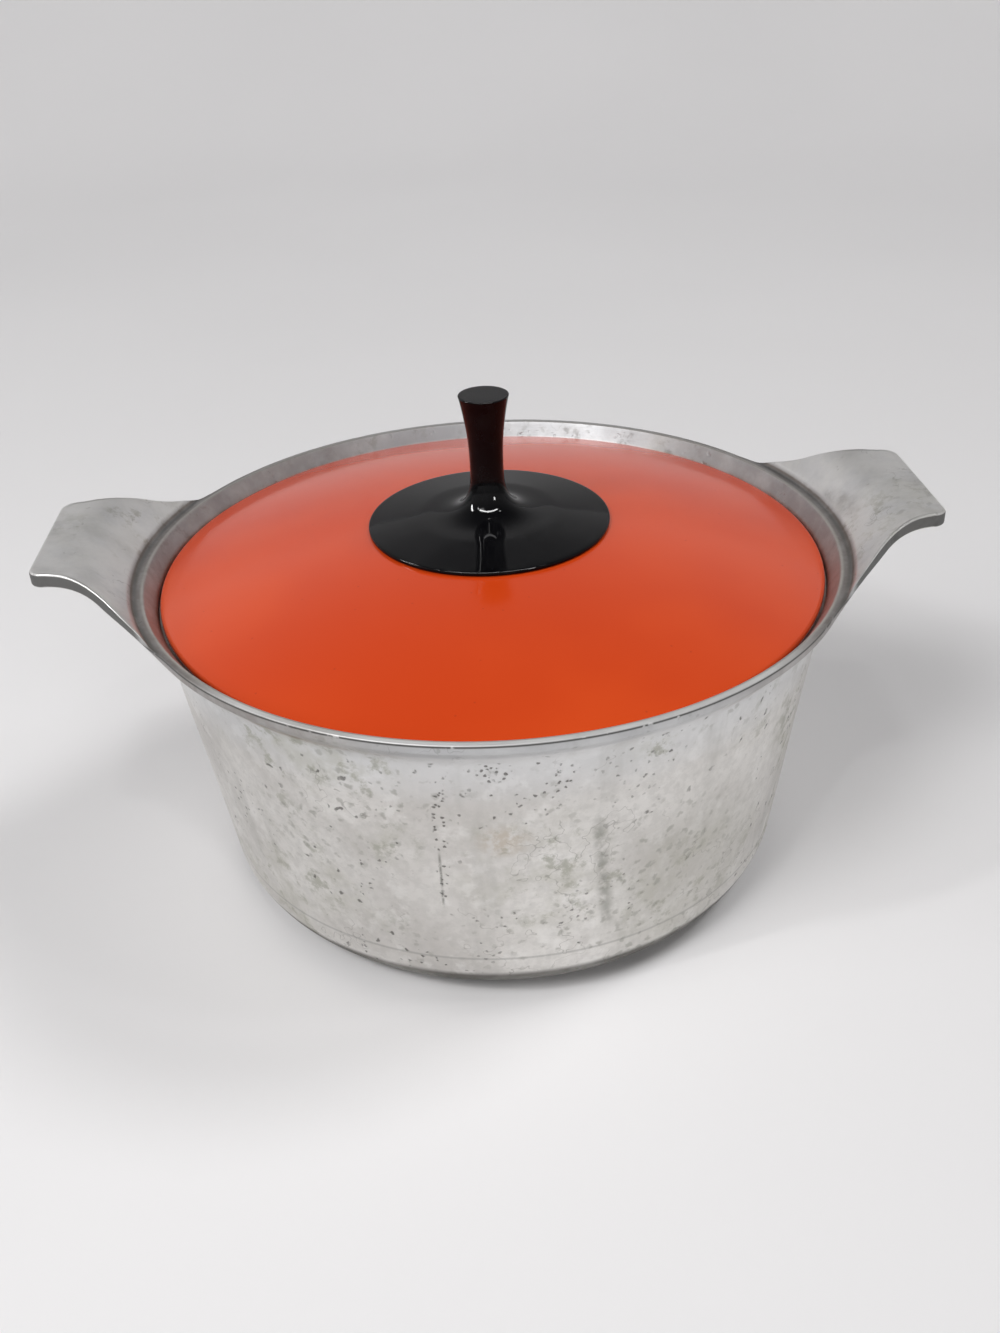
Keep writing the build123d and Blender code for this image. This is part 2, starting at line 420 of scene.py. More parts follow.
def pot_columns():
    """Columns of the casting's surface, one for each point of its plan outline."""
    upper = upper_line()
    lower = lower_line()
    outer = outside_rows(join_radius, lower)
    inner = inside_rows(join_radius)
    top_steps = 44
    under_steps = 14
    edge_steps = 5
    columns = []
    for place, inward in zip(*plan_outline()):
        grip = smooth(place.length, rim_radius, rim_radius + 9)
        top_rounding = rim_edge_rounding + grip_extra_rounding * grip
        under_rounding = rim_under_rounding + grip_extra_under_rounding * grip
        nick = noise.noise(Vector((place.x, place.y, 0)) * 0.35) * 0.5
        nick += noise.noise(Vector((place.x, place.y, 40)) * 1.1) * 0.5
        top_rounding += nick_depth * (1 - 0.7 * grip) * max(nick, 0)
        start = place + inward * max(top_rounding, under_rounding)
        direction = start.normalized()

        def at(radius, height):
            return Vector((direction.x * radius, direction.y * radius, height))

        column = []
        for row in outer:
            spot = direction * row.x
            uneven = smooth(row.y, 8, 30) * dent(spot.x, spot.y, row.y, wall_unevenness, 0.045, 3)
            column.append(at(row.x - uneven, row.y))
        reach = start.length - join_radius
        for k in range(1, under_steps):
            radius = join_radius + reach * (k / under_steps) ** 1.3
            column.append(at(radius, height_on(lower, radius)))
        for k in range(edge_steps, -1, -1):
            turn = math.pi / 2 * k / edge_steps
            point = place + inward * under_rounding * (1 - math.cos(turn))
            height = height_on(lower, point.length) + under_rounding * (1 - math.sin(turn))
            column.append(Vector((point.x, point.y, height)))
        for k in range(edge_steps + 1):
            turn = math.pi / 2 * k / edge_steps
            point = place + inward * top_rounding * (1 - math.cos(turn))
            height = height_on(upper, point.length) - top_rounding * (1 - math.sin(turn))
            column.append(Vector((point.x, point.y, height)))
        for radius in reversed(top_radii(join_radius, start.length, top_steps)):
            spot = direction * radius
            uneven = smooth(radius, 131, 138) * dent(spot.x, spot.y, 0, handle_unevenness, 0.06, 9)
            column.append(at(radius, height_on(upper, radius) - uneven))
        column += [at(row.x, row.y) for row in inner]
        columns.append(column)
    return columns


# ======== lid ========

edge_top = lid_seat_height + lid_edge_height


def find_dome():
    """Radius and centre height of the dome: its flat seat under the knob is at the crown."""
    radius = (lid_radius**2 + dome_rise**2) / (2 * dome_rise)
    return radius, edge_top + dome_rise - radius


dome_radius, dome_centre = find_dome()


def dome_height(radius, depth=0.0):
    """Height of the dome at a radius, or of a dome that lies a depth inside it."""
    return dome_centre + math.sqrt((dome_radius - depth) ** 2 - radius**2)


def dome_line(start, stop, depth, steps):
    """Points along the dome's section between two radii."""
    points = []
    for i in range(steps + 1):
        radius = start + (stop - start) * i / steps
        points.append(Vector((radius, dome_height(radius, depth))))
    return points


def lid_coat_profile():
    """Enamel: over the dome and down the edge, and back along the metal."""
    shell_radius = lid_radius - enamel_thickness
    shoulder = lid_radius - lid_edge_reach
    bottom = lid_seat_height + enamel_thickness
    seat = dome_height(knob_seat_radius)
    outer = soften([
        (lid_radius, bottom, 0),
        (lid_radius, edge_top - lid_edge_reach * 0.1, 1.35),
        (shoulder - 1.2, dome_height(shoulder - 1.2), 0),
    ], steps=8)
    outer += dome_line(shoulder - 1.8, knob_seat_radius, 0, 60)
    inner = [
        Vector((knob_seat_radius, seat)),
        Vector((screw_hole_radius, seat)),
        Vector((screw_hole_radius, seat - enamel_thickness)),
    ]
    under = dome_line(knob_seat_radius + 1, shoulder - 2, enamel_thickness, 30)
    back = [
        Vector((shell_radius, edge_top - 1.4)),
        Vector((shell_radius, bottom)),
    ]
    return outer + inner[1:] + under + back


def lid_metal_profile():
    """Spun aluminium shell: dome, flat edge that sits in the pot, and the locating ring below."""
    shell_radius = lid_radius - enamel_thickness
    depth = enamel_thickness + lid_thickness
    top = dome_line(shell_radius - 2.4, knob_seat_radius, enamel_thickness, 40)
    seat = dome_height(knob_seat_radius) - enamel_thickness
    washer_seat = dome_height(washer_seat_radius, depth)
    under = dome_line(washer_seat_radius + 0.6, ring_inner_radius - 1.4, depth, 50)
    ring = soften([
        (under[-1].x, under[-1].y, 0),
        (ring_inner_radius, dome_height(ring_inner_radius, depth), 1.3),
        (ring_inner_radius, shell_low.z, 0.6),
        (ring_outer_radius, shell_low.z, 0.6),
        (ring_outer_radius, lid_seat_height, 0.4),
        (shell_radius, lid_seat_height, 0.5),
        (shell_radius, edge_top - 1.5, 0.8),
        (top[0].x, top[0].y, 0),
    ])
    centre = [
        Vector((screw_hole_radius, seat)),
        Vector((screw_hole_radius, washer_seat)),
        Vector((washer_seat_radius, washer_seat)),
    ]
    return refine(ring[1:], 2.0) + top[1:] + centre + under


# ======== knob ========

def knob_profile():
    """One moulding: hollow seat, thin dished flange, waisted stem with a flat top."""
    flange_under = dome_height(flange_radius) + flange_gap
    flange_top = flange_under + flange_edge
    skirt = Vector((skirt_radius, dome_height(skirt_radius) + flange_gap + skirt_thickness))
    skirt_direction = skirt - Vector((flange_radius, flange_top))
    throat = Vector((throat_radius, knob_top - throat_drop))
    waist = Vector((waist_radius, knob_top - waist_drop))
    shoulder = Vector((shoulder_radius, knob_top - shoulder_drop))
    top_edge = Vector((knob_top_radius, knob_top))
    throat_direction = waist - skirt
    upright = Vector((0, 1))
    shoulder_direction = Vector((shoulder_lean, 1))
    top_direction = Vector((knob_top_lean, 1))
    hollow = [
        Vector((0, knob_seat + insert_length)),
        Vector((insert_radius, knob_seat + insert_length)),
        Vector((insert_radius, knob_seat)),
        Vector((knob_seat_radius, knob_seat)),
        Vector((knob_seat_radius, dome_height(knob_seat_radius) + flange_gap)),
    ]
    under = dome_line(knob_seat_radius + 1, flange_radius - 1.0, 0, 30)
    under = [point + Vector((0, flange_gap)) for point in under]
    edge = soften([
        (under[-1].x, under[-1].y, 0),
        (flange_radius, flange_under, 0.35),
        (flange_radius, flange_top, 0.5),
        (skirt.x, skirt.y, 0),
    ], steps=5)
    edge = refine(edge, 1.0)
    stem = span(skirt, skirt_direction, throat, throat_direction, 20)
    stem += span(throat, throat_direction, waist, upright, 16)[1:]
    stem += span(waist, upright, shoulder, shoulder_direction, 14)[1:]
    stem += span(shoulder, shoulder_direction, top_edge, top_direction, 14)[1:-1]
    top = soften([
        (stem[-1].x, stem[-1].y, 0),
        (top_edge.x, top_edge.y, 0.45),
        (top_edge.x - 1.5, top_edge.y, 0),
        (0, top_edge.y, 0),
    ], steps=5)
    return hollow + under + edge[1:] + stem[1:] + refine(top, 2.0)[1:]


# ======== materials ========

class Surface:
    """A procedural material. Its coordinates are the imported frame's axes, in metres."""

    def __init__(self, name):
        self.material = bpy.data.materials.new(name)
        self.material.use_nodes = True
        self.tree = self.material.node_tree
        self.shader = self.tree.nodes["Principled BSDF"]
        self.place = self.add("ShaderNodeTexCoord").outputs["Object"]
        split = self.add("ShaderNodeSeparateXYZ", {"Vector": self.place})
        self.x, self.y, self.z = split.outputs
        self.radius = self.reach(self.x, self.y)
        self.color = None

    def add(self, kind, inputs=None, **settings):
        node = self.tree.nodes.new(kind)
        for key, value in settings.items():
            setattr(node, key, value)
        for key, value in (inputs or {}).items():
            self.feed(node.inputs[key], value)
        return node

    def feed(self, socket, value):
        if isinstance(value, bpy.types.NodeSocket):
            self.tree.links.new(value, socket)
        else:
            socket.default_value = value

    def math(self, operation, first, second=0.0):
        return self.add("ShaderNodeMath", {0: first, 1: second}, operation=operation).outputs[0]

    def vector(self, operation, inputs):
        return self.add("ShaderNodeVectorMath", inputs, operation=operation).outputs[0]

    def reach(self, first, second):
        """Distance of a point from zero, from its two coordinates."""
        squares = [self.math("MULTIPLY", value, value) for value in (first, second)]
        return self.math("SQRT", self.math("ADD", *squares))

    def step(self, value, low, high, start=0.0, stop=1.0):
        """Smooth ramp of a value; low may be above high."""
        node = self.add("ShaderNodeMapRange", {
            "Value": value, "From Min": low, "From Max": high, "To Min": start, "To Max": stop,
        }, interpolation_type="SMOOTHSTEP")
        return node.outputs["Result"]

    def band(self, value, middle, half_width):
        """1 at the middle of a band, fading to 0 at half its width from there."""
        return self.step(self.math("ABSOLUTE", self.math("SUBTRACT", value, middle)), half_width, 0.0)

    def noise(self, scale, detail, roughness, stretch=(1, 1, 1), shift=0.0):
        """Smooth noise; shift moves the pattern so that two of them don't agree."""
        mapping = self.add("ShaderNodeMapping", {
            "Vector": self.place, "Location": (shift, shift, shift), "Scale": stretch,
        })
        node = self.add("ShaderNodeTexNoise", {
            "Vector": mapping.outputs[0], "Scale": scale, "Detail": detail, "Roughness": roughness,
        })
        return node.outputs["Fac"]

    def cells(self, scale, warp=0.0):
        """Distance from scattered points; warp bends the pattern so that its spots aren't round."""
        shift = self.add("ShaderNodeTexNoise", {"Vector": self.place, "Scale": scale * 1.7})
        push = self.vector("SUBTRACT", {0: shift.outputs["Color"], 1: (0.5, 0.5, 0.5)})
        push = self.vector("SCALE", {0: push, "Scale": warp / scale})
        place = self.vector("ADD", {0: self.place, 1: push})
        node = self.add("ShaderNodeTexVoronoi", {"Vector": place, "Scale": scale})
        return node.outputs["Distance"]

    def rings(self, scale):
        """Uneven turning marks round the axis."""
        place = self.add("ShaderNodeCombineXYZ", {"X": self.radius, "Y": self.math("MULTIPLY", self.z, 0.7)})
        node = self.add("ShaderNodeTexNoise", {
            "Vector": place.outputs[0], "Scale": scale, "Detail": 3.0, "Roughness": 0.7,
        })
        return node.outputs["Fac"]

    def both(self, *masks):
        """Product of several masks."""
        result = masks[0]
        for mask in masks[1:]:
            result = self.math("MULTIPLY", result, mask)
        return result

    def either(self, *masks):
        """Largest of several masks."""
        result = masks[0]
        for mask in masks[1:]:
            result = self.math("MAXIMUM", result, mask)
        return result

    def between(self, value, low, high, fade):
        """1 between two values, fading to 0 outside them."""
        return self.both(self.step(value, low - fade, low), self.step(value, high + fade, high))

    def spot(self, across, along, middle, half_size):
        """1 in the middle of an ellipse in two coordinates, given in millimetres, 0 outside it."""
        away = [
            self.math("DIVIDE", self.math("SUBTRACT", value, centre * MM), half * MM)
            for value, centre, half in zip((across, along), middle, half_size)
        ]
        return self.step(self.reach(*away), 1.0, 0.25)

    def mix(self, factor, first, second):
        node = self.add("ShaderNodeMix", data_type="RGBA")
        self.feed(node.inputs[0], factor)
        self.feed(node.inputs[6], first)
        self.feed(node.inputs[7], second)
        return node.outputs[2]

    def paint(self, mask, red, green, blue):
        """Lays a colour over what is there already, as far as the mask says."""
        self.color = self.mix(mask, self.color, rgb(red, green, blue))

    def bump(self, height, distance, strength, under=None):
        inputs = {"Height": height, "Distance": distance, "Strength": strength}
        if under is not None:
            inputs["Normal"] = under
        return self.add("ShaderNodeBump", inputs).outputs[0]

    def set(self, **values):
        """Feeds inputs of the shader; a name's underscores stand for spaces."""
        for key, value in values.items():
            self.feed(self.shader.inputs[key.replace("_", " ")], value)


def rgb(red, green, blue):
    return (red, green, blue, 1.0)


# ---- the casting's finish, one layer after another ----

def ground_metal(s, tone, grain):
    """Soft mottling at several sizes, cooler towards the rim."""
    s.color = s.mix(s.step(tone, 0.35, 0.65), rgb(0.62, 0.60, 0.575), rgb(0.76, 0.745, 0.72))
    s.paint(s.step(grain, 0.40, 0.62, 0.0, 0.30), 0.50, 0.49, 0.465)
    pale = s.noise(90, 4, 0.65, shift=12.0)
    s.paint(s.step(pale, 0.52, 0.66, 0.0, 0.45), 0.85, 0.84, 0.82)
    cool = s.both(s.step(s.z, 0.088, 0.112), s.step(s.radius, 0.1170, 0.1180))
    s.paint(s.both(cool, 0.55), 0.73, 0.745, 0.765)


def wall_stains_and_shade(s, front, grain):
    """Vertical runs, greenish-grey smudges gathered in patches, soft freckles low down, and a darker patch
    low on the right of the front wall that is partly stain, partly painted shade.
    """
    streak = s.noise(75, 4, 0.6, stretch=(1, 1, 0.10), shift=2.0)
    s.paint(s.step(streak, 0.54, 0.70, 0.0, 0.30), 0.47, 0.465, 0.44)
    stained = s.both(front, s.either(
        s.spot(s.x, s.z, (46, 107), (17, 9)),
        s.spot(s.x, s.z, (56, 40), (34, 34)),
        s.spot(s.x, s.z, (4, 66), (34, 34)),
        s.spot(s.x, s.z, (-42, 76), (16, 14)),
    ))
    patch = s.either(s.step(s.noise(15, 3, 0.55, shift=8.0), 0.46, 0.62), stained)
    smudge = s.both(s.step(s.noise(120, 6, 0.68, shift=5.0), 0.52, 0.64), patch)
    s.paint(s.both(smudge, 0.60), 0.36, 0.365, 0.30)
    broad = s.both(s.step(s.noise(45, 5, 0.65, shift=17.0), 0.46, 0.66), patch)
    s.paint(s.both(broad, 0.42), 0.45, 0.445, 0.37)
    # A darker patch low on the right of the front wall: partly stain, partly painted shade.
    shaded = s.both(front, s.spot(s.x, s.z, (58, 42), (40, 52)))
    s.paint(s.both(shaded, 0.34), 0.40, 0.39, 0.345)
    brown_spot = s.both(front, s.spot(s.x, s.z, (-5, 79), (12, 9)))
    s.paint(s.both(brown_spot, s.step(grain, 0.35, 0.6), 0.45), 0.50, 0.41, 0.30)
    freckled = s.both(front, s.either(
        s.spot(s.x, s.z, (46, 56), (44, 44)),
        s.spot(s.x, s.z, (10, 34), (44, 26)),
    ))
    freckled = s.either(freckled, s.step(s.noise(13, 2, 0.5, shift=41.0), 0.52, 0.66))
    freckle = s.step(s.cells(210, 0.9), 0.36, 0.14)
    s.paint(s.both(freckle, freckled, 0.50), 0.30, 0.30, 0.265)
    return smudge


def wall_pits(s, front):
    """Pits of three sizes, in clusters and in upright rows."""
    cluster = s.step(s.noise(20, 3, 0.6, shift=11.0), 0.52, 0.64)
    row = s.step(s.noise(85, 2, 0.5, stretch=(1, 1, 0.05), shift=23.0), 0.63, 0.69)
    worst = s.both(front, s.either(
        s.spot(s.x, s.z, (-8, 108), (9, 6)),
        s.spot(s.x, s.z, (14, 104), (4, 9)),
        s.both(s.band(s.x, -0.0246, 0.0034), s.between(s.z, 0.055, 0.102, 0.004)),
    ))
    fine = s.both(s.step(s.cells(330, 0.7), 0.24, 0.12), s.either(cluster, row))
    finest = s.both(s.step(s.cells(520, 0.6), 0.34, 0.20), s.step(worst, 0.15, 0.6))
    loose = s.step(s.noise(28, 2, 0.5, shift=15.0), 0.49, 0.58)
    coarse = s.both(s.step(s.cells(150, 0.8), 0.16, 0.08), loose)
    below_rim = s.either(s.step(s.z, 0.1170, 0.1140), 0.35)
    pits = s.both(s.either(fine, finest, coarse), below_rim)
    s.paint(s.both(pits, 0.74), 0.10, 0.095, 0.085)
    return pits


def wall_scratches(s, front, grain):
    """Hairlines, one upright scratch, and a smear that leans a little."""
    hairline = s.band(s.noise(32, 4, 0.6, shift=27.0), 0.5, 0.0045)
    hairline = s.both(hairline, s.step(s.noise(30, 2, 0.5, shift=29.0), 0.52, 0.60))
    s.paint(s.both(hairline, 0.45), 0.20, 0.19, 0.17)
    scratch = s.both(s.band(s.x, -0.0254, 0.0007), s.between(s.z, 0.052, 0.070, 0.005), front)
    s.paint(s.both(scratch, s.step(grain, 0.38, 0.5, 0.2, 0.7)), 0.16, 0.16, 0.14)
    lean = s.math("ADD", s.x, s.math("MULTIPLY", s.z, 0.078))
    smear = s.both(s.band(lean, 0.0309, 0.0034), s.between(s.z, 0.038, 0.078, 0.008), front)
    smear = s.both(smear, s.step(s.noise(180, 4, 0.6, shift=19.0), 0.36, 0.56, 0.1, 0.62))
    s.paint(smear, 0.27, 0.27, 0.24)


def rim_marks(s, uneven):
    """Cooking stain in the recess, deepened near the handles as painted reflection; a painted highlight and
    painted shade on the land; painted shade under the rim and along its outer edge.
    """
    beside = s.math("ABSOLUTE", s.x)
    near_handle = s.either(s.step(s.x, 0.045, 0.100), s.step(s.x, -0.020, -0.075))
    in_recess = s.both(
        s.step(s.radius, 0.1288, 0.1283),
        s.step(s.z, 0.1125, 0.1150),
        s.step(s.radius, 0.1185, 0.1200),
    )
    # Cooking stain in the recess near the handles, made deeper there to stand in for the dark reflection:
    # partly stain, partly painted reflection.
    brown_stain_and_reflection = s.both(near_handle, in_recess, s.step(uneven, 0.25, 0.7, 0.55, 1.0))
    brown_stain_and_reflection = s.both(brown_stain_and_reflection, s.step(s.noise(170, 5, 0.65, shift=43.0), 0.35, 0.60, 0.70, 1.0))
    at_top = s.step(s.z, 0.1222, 0.1228)
    on_land = s.both(at_top, s.step(s.radius, 0.1249, 0.1253))
    s.paint(s.both(brown_stain_and_reflection, 0.86), 0.26, 0.195, 0.150)
    s.paint(s.both(brown_stain_and_reflection, on_land, 0.30), 0.16, 0.115, 0.08)
    # Painted highlight on the land, strongest at the front and away from the handles.
    land_highlight = s.both(on_land, s.step(beside, 0.105, 0.080), s.step(uneven, 0.3, 0.6, 0.5, 0.9))
    land_highlight = s.both(land_highlight, s.step(s.y, 0.030, -0.050, 0.30, 1.0))
    s.paint(land_highlight, 0.96, 0.95, 0.93)
    # Painted highlight along the raised line at the land's inner edge.
    ridge_highlight = s.both(s.band(s.radius, 0.1248, 0.0010), at_top)
    s.paint(s.both(ridge_highlight, s.step(uneven, 0.35, 0.60, 0.25, 0.80)), 0.86, 0.81, 0.72)
    # Painted shade in the crease where the land meets the handles' rise.
    valley_shade = s.both(s.band(s.radius, 0.1277, 0.0020), s.step(s.z, 0.1215, 0.1225))
    valley_shade = s.both(valley_shade, s.step(beside, 0.096, 0.108))
    valley_shade = s.both(valley_shade, s.step(s.noise(95, 4, 0.6, shift=33.0), 0.30, 0.52, 0.50, 0.95))
    s.paint(valley_shade, 0.10, 0.082, 0.060)

    # Painted shade: a duller band under the rim, and a dark broken line along its outer edge.
    under = s.both(s.between(s.z, 0.1170, 0.1222, 0.0026), s.step(s.radius, 0.1205, 0.1215))
    under = s.both(under, s.step(uneven, 0.3, 0.6, 0.40, 0.68), s.step(s.y, 0.030, -0.050, 1.0, 0.72))
    s.paint(under, 0.36, 0.37, 0.385)
    arris_shade = s.both(s.band(s.z, 0.1224, 0.0006), s.step(s.radius, 0.1262, 0.1266))
    nicked = s.noise(150, 3, 0.6, shift=31.0)
    s.paint(s.both(arris_shade, s.step(nicked, 0.34, 0.40, 0.0, 0.95)), 0.03, 0.03, 0.026)
    return in_recess, land_highlight, arris_shade


def handle_wear_sheen_and_shade(s):
    """Dull marks rubbed into the right-hand handle, clouding on both, lighter patches on their tops that are
    partly polishing wear and partly painted sheen, and painted shade on their flanks.
    """
    on_handle = s.step(s.z, 0.1245, 0.1260)
    across = s.math("ADD", s.x, s.math("MULTIPLY", s.y, 0.14))
    rubbed = s.both(on_handle, s.either(
        s.spot(s.y, across, (6, 132), (21, 4.2)),
        s.both(s.spot(s.y, s.x, (-5, 156), (10, 6)), 0.5),
    ))
    rubbed = s.both(rubbed, s.step(s.noise(110, 5, 0.65, shift=37.0), 0.34, 0.56, 0.35, 1.0))
    s.paint(s.both(rubbed, 0.64), 0.30, 0.295, 0.28)
    cloud = s.both(on_handle, s.step(s.noise(34, 4, 0.6, shift=47.0), 0.42, 0.66))
    s.paint(s.both(cloud, 0.26), 0.50, 0.485, 0.44)
    # Lighter patches on the handle tops: partly polishing wear, partly painted sheen.
    polish_and_sheen = s.both(on_handle, s.step(s.noise(60, 4, 0.6, shift=53.0), 0.30, 0.62, 0.05, 0.48))
    s.paint(polish_and_sheen, 0.88, 0.87, 0.84)
    # Painted shade on the handles' upright flanks, picked out by which way the surface faces.
    normal = s.add("ShaderNodeNewGeometry").outputs["Normal"]
    upward = s.add("ShaderNodeSeparateXYZ", {"Vector": normal}).outputs["Z"]
    flank = s.both(
        s.step(s.math("ABSOLUTE", upward), 0.62, 0.25),
        s.step(s.radius, 0.1285, 0.1310),
        s.step(s.z, 0.118, 0.122),
    )
    s.paint(s.both(flank, 0.88), 0.10, 0.10, 0.097)
    return rubbed, flank


def foot_line_and_shade(s, uneven):
    """The turned line low on the wall, and painted shade where the wall bends into the base, standing in for
    the bend's dark reflection of the shaded floor under it.
    """
    from_bend = s.reach(
        s.math("SUBTRACT", s.radius, base_bend_radius * MM),
        s.math("SUBTRACT", s.z, base_corner_radius * MM),
    )
    outer_bend = s.both(s.step(from_bend, 0.0192, 0.0204), s.step(s.radius, 0.0805, 0.0845))
    lathe_line = s.both(s.band(s.z, lathe_line_height * MM, 0.0009), outer_bend)
    s.paint(s.both(lathe_line, 0.40), 0.24, 0.24, 0.23)
    # Painted shade on the lowest visible part of the bend, in place of its dark reflection of the shaded
    # floor under it.
    foot = s.both(s.step(s.z, 0.0158, 0.0122), outer_bend)
    s.paint(s.both(foot, s.step(uneven, 0.3, 0.6, 0.65, 0.90)), 0.07, 0.066, 0.055)
    return foot


def cast_aluminium():
    """Worn, hand-polished casting: pits, stains, streaks, turned rings where a lathe cut it, and painted
    highlights and shade at the rim, the handles and the foot.
    """
    s = Surface("cast_aluminium")
    tone = s.noise(22, 4, 0.6)
    grain = s.noise(260, 5, 0.7, shift=1.0)
    uneven = s.noise(40, 4, 0.6, shift=21.0)
    wall_face = s.math("ADD", s.math("MULTIPLY", s.z, math.tan(wall_taper)), wall_radius(0.0) * MM)
    outside = s.step(s.math("SUBTRACT", s.radius, wall_face), -0.0034, -0.0022)
    front = s.both(s.step(s.y, -0.055, -0.080), outside)

    ground_metal(s, tone, grain)
    smudge = wall_stains_and_shade(s, front, grain)
    pits = wall_pits(s, front)
    wall_scratches(s, front, grain)
    in_recess, land_highlight, arris_shade = rim_marks(s, uneven)
    rubbed, flank = handle_wear_sheen_and_shade(s)
    foot = foot_line_and_shade(s, uneven)

    roughness = s.step(tone, 0.3, 0.7, 0.36, 0.46)
    for mask, rougher in (
        (smudge, 0.14),
        (s.either(flank, rubbed), 0.12),
        (in_recess, 0.08),
        (foot, 0.40),
    ):
        roughness = s.math("ADD", roughness, s.both(mask, rougher))
    # Less metallic where shade and highlight are painted: the foot, the rim's outer edge and the front of
    # the land.
    front_land_highlight = s.both(land_highlight, s.step(s.y, 0.0, -0.060))
    matt = s.either(s.both(foot, 0.8), s.both(arris_shade, 0.7), s.both(front_land_highlight, 0.55))
    turned_zone = s.either(s.step(s.z, 0.0012, 0.0006), in_recess)
    normal = s.bump(s.both(s.rings(2200), turned_zone), 0.00010, 0.25)
    normal = s.bump(s.noise(900, 3, 0.6), 0.00010, 0.35, normal)
    normal = s.bump(s.noise(140, 3, 0.5, shift=3.0), 0.00035, 0.30, normal)
    normal = s.bump(pits, -0.0005, 0.6, normal)
    s.set(Base_Color=s.color, Metallic=s.math("SUBTRACT", 1.0, matt))
    s.set(Roughness=roughness, Normal=normal)
    return s.material


# ---- the other finishes ----

def spun_aluminium():
    """Underside of the lid: fine spinning rings with a little steam staining."""
    s = Surface("spun_aluminium")
    tone = s.noise(26, 4, 0.6, shift=4.0)
    color = s.mix(s.step(tone, 0.4, 0.7), rgb(0.74, 0.735, 0.72), rgb(0.60, 0.585, 0.55))
    normal = s.bump(s.rings(2600), 0.00010, 0.35)
    normal = s.bump(s.noise(500, 3, 0.6), 0.00008, 0.3, normal)
    s.set(Base_Color=color, Metallic=1.0, Roughness=s.step(tone, 0.35, 0.7, 0.28, 0.42), Normal=normal)
    return s.material


def orange_enamel():
    """Glossy fired enamel with faint orange peel and a few specks."""
    s = Surface("orange_enamel")
    tone = s.noise(9, 3, 0.5)
    s.color = s.mix(s.step(tone, 0.35, 0.65), rgb(0.60, 0.053, 0.0065), rgb(0.66, 0.068, 0.0095))
    s.paint(s.step(s.cells(120), 0.06, 0.03, 0.0, 0.35), 0.35, 0.03, 0.01)
    peel = s.noise(260, 2, 0.5, shift=7.0)
    normal = s.bump(peel, 0.00012, 0.12)
    normal = s.bump(s.noise(28, 2, 0.5), 0.0006, 0.05, normal)
    s.set(Base_Color=s.color, Roughness=s.step(tone, 0.3, 0.7, 0.20, 0.27), Normal=normal)
    s.set(Specular_IOR_Level=0.12, Coat_Weight=0.46, Coat_Roughness=0.12, Coat_IOR=1.5)
    return s.material


def black_phenolic():
    """Glossy black moulding with faint swirl marks and dust."""
    s = Surface("black_phenolic")
    tone = s.noise(70, 4, 0.6)
    color = s.mix(s.step(tone, 0.4, 0.7), rgb(0.002, 0.002, 0.0025), rgb(0.005, 0.005, 0.0055))
    scuff = s.noise(45, 3, 0.55, shift=6.0)
    normal = s.bump(s.noise(420, 2, 0.5), 0.00006, 0.12)
    s.set(Base_Color=color, Roughness=s.step(scuff, 0.35, 0.7, 0.03, 0.09), Normal=normal, IOR=1.20)
    return s.material


def plain_metal(name, low, high, smoothest, roughest, ring_pitch):
    """Small turned hardware: brass or plated steel, a little tarnished; the pitch is in metres."""
    s = Surface(name)
    tone = s.noise(380, 4, 0.6)
    color = s.mix(s.step(tone, 0.35, 0.65), low, high)
    rings = s.math("SINE", s.math("MULTIPLY", s.radius, 2 * math.pi / ring_pitch))
    normal = s.bump(rings, 0.00002, 0.4)
    roughness = s.step(tone, 0.3, 0.7, smoothest, roughest)
    s.set(Base_Color=color, Metallic=1.0, Roughness=roughness, Normal=normal)
    return s.material


def studio_floor():
    """Pale paper floor and backdrop, with a barely visible unevenness of tone."""
    s = Surface("studio_paper")
    tone = s.noise(1.6, 2, 0.5)
    color = s.mix(s.step(tone, 0.3, 0.7), rgb(0.80, 0.79, 0.795), rgb(0.825, 0.815, 0.82))
    s.set(Base_Color=color, Roughness=0.7)
    return s.material


# ======== the object ========

casting = skin("pot_casting", pot_columns(), closed=False)
finish_piece(casting, "pot", "pot_body", cast_aluminium())

lid_segments = 256
knob_segments = 128
coat = turned("lid_coat", lid_coat_profile(), lid_segments, closed=True)
finish_piece(coat, "lid", "lid_enamel", orange_enamel())

lid_metal = turned("lid_metal_shell", lid_metal_profile(), lid_segments, closed=True)
finish_piece(lid_metal, "lid", "lid_shell", spun_aluminium())

moulding = turned("knob_moulding", knob_profile(), knob_segments, closed=False)
finish_piece(moulding, "lid", "knob", black_phenolic())

brass = plain_metal("insert_brass", rgb(0.72, 0.50, 0.20), rgb(0.80, 0.60, 0.28), 0.25, 0.4, 0.0003)
plated = plain_metal("plated_steel", rgb(0.55, 0.55, 0.54), rgb(0.66, 0.66, 0.64), 0.25, 0.42, 0.0004)
for node, material in (
    ("knob_insert", brass),
    ("knob_screw", plated),
    ("flat_washer", plated),
    ("lock_washer", plated),
):
    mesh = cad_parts[node].data
    mesh.materials.clear()
    mesh.materials.append(material)


# ======== camera, floor and light ========

camera_distance = 427.4     # level distance from the pot's axis
camera_height = 333.6       # above the table
camera_pitch = math.radians(31.56)
camera_roll = math.radians(-2.72)
camera_pan = math.radians(0.18)
camera_lens = 35.1          # for a sensor 36 mm high
pot_turn = math.radians(2.41)   # the pot stands turned this far; the camera goes round it instead
pot_middle = (0, 0, 0.05)
knob_middle = (0, 0, 0.15)
knob_only = bpy.data.collections.new("knob_only")
sun_spread = math.radians(18)
world_matt_share = 0.37     # matt surfaces get more of their light from the lamps


